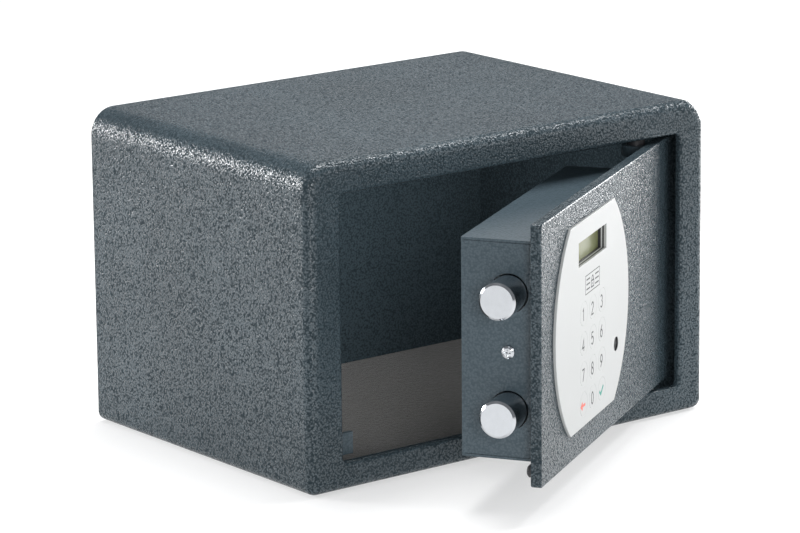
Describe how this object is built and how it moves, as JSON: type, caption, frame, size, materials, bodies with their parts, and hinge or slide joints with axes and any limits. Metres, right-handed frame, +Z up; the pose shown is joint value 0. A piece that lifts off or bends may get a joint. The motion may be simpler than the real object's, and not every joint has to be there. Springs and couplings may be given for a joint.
{
  "type": "in-room safe",
  "caption": "Compact steel in-room safe with an inset hinged door, keypad and display, motor-driven round locking bolts, override lock and battery box.",
  "frame": {"origin": "centre of the cabinet base, on the surface it stands on", "axes": "+X to the hinge side along the front, +Y from the front to the back, +Z up"},
  "size_m": [0.28, 0.3115, 0.18],
  "materials": {
    "hammer_paint": "hammertone, satin",
    "dark_paint": "satin",
    "zinc_steel": "zinc plated",
    "bolt_chrome": "polished",
    "black_rubber": "matte",
    "black_plastic": "matte",
    "white_plastic": "satin",
    "film": "satin",
    "display_green": "gloss",
    "board_green": "gloss",
    "red_plastic": "satin",
    "cell_sleeve": "gloss",
    "mat_fabric": "needle felt",
    "white_gear": "satin"
  },
  "bodies": {
    "cabinet": {"cabinet_wrap": "hammer_paint", "front_frame": "hammer_paint", "back_panel": "hammer_paint", "floor_mat": "mat_fabric", "hinge_brackets": "dark_paint", "hinge_bushings": "black_plastic", "door_stop": "dark_paint"},
    "door": {"door_plate": "hammer_paint", "hinge_lugs": "hammer_paint", "hinge_pins": "zinc_steel", "hinge_spacers": "black_plastic", "door_bumper": "black_rubber", "plate_studs": "zinc_steel", "lock_chassis": "zinc_steel", "chassis_nuts": "zinc_steel", "shoulder_screws": "zinc_steel", "gearbox": "zinc_steel", "lock_motor": "zinc_steel", "motor_bracket": "zinc_steel", "lock_cover": "hammer_paint", "cover_screws": "bolt_chrome", "keypad_fascia": "white_plastic", "membrane_circuit": "film", "keypad_ribbon": "film", "display_bezel": "black_plastic", "display_glass": "display_green", "display_board": "board_green", "override_body": "zinc_steel", "override_nut": "zinc_steel", "main_board": "board_green", "board_components": "black_plastic", "buzzer": "black_plastic", "limit_switch": "black_plastic", "battery_holder": "black_plastic", "battery_cells": "cell_sleeve", "battery_contacts": "zinc_steel", "flap_pin": "zinc_steel", "wiring_leads": "red_plastic"},
    "bolts": {"lock_bolts": "bolt_chrome", "bolt_carriage": "zinc_steel", "bolt_screws": "zinc_steel"},
    "pinion": {"drive_pinion": "white_gear"},
    "override": {"override_plug": "black_plastic", "override_cam": "zinc_steel"},
    "hatch": {"battery_flap": "hammer_paint"},
    "reset": {"reset_button": "red_plastic"},
    "key_1": {"key_1": "white_plastic"},
    "key_2": {"key_2": "white_plastic"},
    "key_3": {"key_3": "white_plastic"},
    "key_4": {"key_4": "white_plastic"},
    "key_5": {"key_5": "white_plastic"},
    "key_6": {"key_6": "white_plastic"},
    "key_7": {"key_7": "white_plastic"},
    "key_8": {"key_8": "white_plastic"},
    "key_9": {"key_9": "white_plastic"},
    "key_clear": {"key_clear": "white_plastic"},
    "key_0": {"key_0": "white_plastic"},
    "key_enter": {"key_enter": "white_plastic"}
  },
  "joints": [
    {"name": "door_hinge", "type": "hinge", "parent": "cabinet", "child": "door", "pos_m": [0.1, -0.086, 0.0885], "axis": [0, 0, 1], "range_deg": [-31.9, 68.1]},
    {"name": "bolt_slide", "type": "slide", "parent": "door", "child": "bolts", "axis": [0.849, 0.5284, 0], "range_m": [0, 0.012]},
    {"name": "pinion_spin", "type": "hinge", "parent": "door", "child": "pinion", "pos_m": [-0.03356, -0.14581, 0.0645], "axis": [-0.5284, 0.849, 0], "range_deg": [-1, 93]},
    {"name": "override_turn", "type": "hinge", "parent": "door", "child": "override", "pos_m": [0.02652, -0.13409, 0.0649], "axis": [-0.5284, 0.849, 0], "range_deg": [0, 90]},
    {"name": "hatch_hinge", "type": "hinge", "parent": "door", "child": "hatch", "pos_m": [0.02807, -0.08966, 0.0985], "axis": [0.849, 0.5284, 0], "range_deg": [0, 100]},
    {"name": "reset_press", "type": "slide", "parent": "door", "child": "reset", "axis": [0.5284, -0.849, 0], "range_m": [0, 0.0015], "stiffness_N_per_m": 250, "springref_m": -0.0004},
    {"name": "key_1_press", "type": "slide", "parent": "door", "child": "key_1", "axis": [-0.5284, 0.849, 0], "range_m": [0, 0.0003], "stiffness_N_per_m": 600, "springref_m": -0.0002},
    {"name": "key_2_press", "type": "slide", "parent": "door", "child": "key_2", "axis": [-0.5284, 0.849, 0], "range_m": [0, 0.0003], "stiffness_N_per_m": 600, "springref_m": -0.0002},
    {"name": "key_3_press", "type": "slide", "parent": "door", "child": "key_3", "axis": [-0.5284, 0.849, 0], "range_m": [0, 0.0003], "stiffness_N_per_m": 600, "springref_m": -0.0002},
    {"name": "key_4_press", "type": "slide", "parent": "door", "child": "key_4", "axis": [-0.5284, 0.849, 0], "range_m": [0, 0.0003], "stiffness_N_per_m": 600, "springref_m": -0.0002},
    {"name": "key_5_press", "type": "slide", "parent": "door", "child": "key_5", "axis": [-0.5284, 0.849, 0], "range_m": [0, 0.0003], "stiffness_N_per_m": 600, "springref_m": -0.0002},
    {"name": "key_6_press", "type": "slide", "parent": "door", "child": "key_6", "axis": [-0.5284, 0.849, 0], "range_m": [0, 0.0003], "stiffness_N_per_m": 600, "springref_m": -0.0002},
    {"name": "key_7_press", "type": "slide", "parent": "door", "child": "key_7", "axis": [-0.5284, 0.849, 0], "range_m": [0, 0.0003], "stiffness_N_per_m": 600, "springref_m": -0.0002},
    {"name": "key_8_press", "type": "slide", "parent": "door", "child": "key_8", "axis": [-0.5284, 0.849, 0], "range_m": [0, 0.0003], "stiffness_N_per_m": 600, "springref_m": -0.0002},
    {"name": "key_9_press", "type": "slide", "parent": "door", "child": "key_9", "axis": [-0.5284, 0.849, 0], "range_m": [0, 0.0003], "stiffness_N_per_m": 600, "springref_m": -0.0002},
    {"name": "key_clear_press", "type": "slide", "parent": "door", "child": "key_clear", "axis": [-0.5284, 0.849, 0], "range_m": [0, 0.0003], "stiffness_N_per_m": 600, "springref_m": -0.0002},
    {"name": "key_0_press", "type": "slide", "parent": "door", "child": "key_0", "axis": [-0.5284, 0.849, 0], "range_m": [0, 0.0003], "stiffness_N_per_m": 600, "springref_m": -0.0002},
    {"name": "key_enter_press", "type": "slide", "parent": "door", "child": "key_enter", "axis": [-0.5284, 0.849, 0], "range_m": [0, 0.0003], "stiffness_N_per_m": 600, "springref_m": -0.0002}
  ],
  "couplings": [
    {"joint": "pinion_spin", "follows": "bolt_slide", "rad_per_m": 133.33}
  ]
}
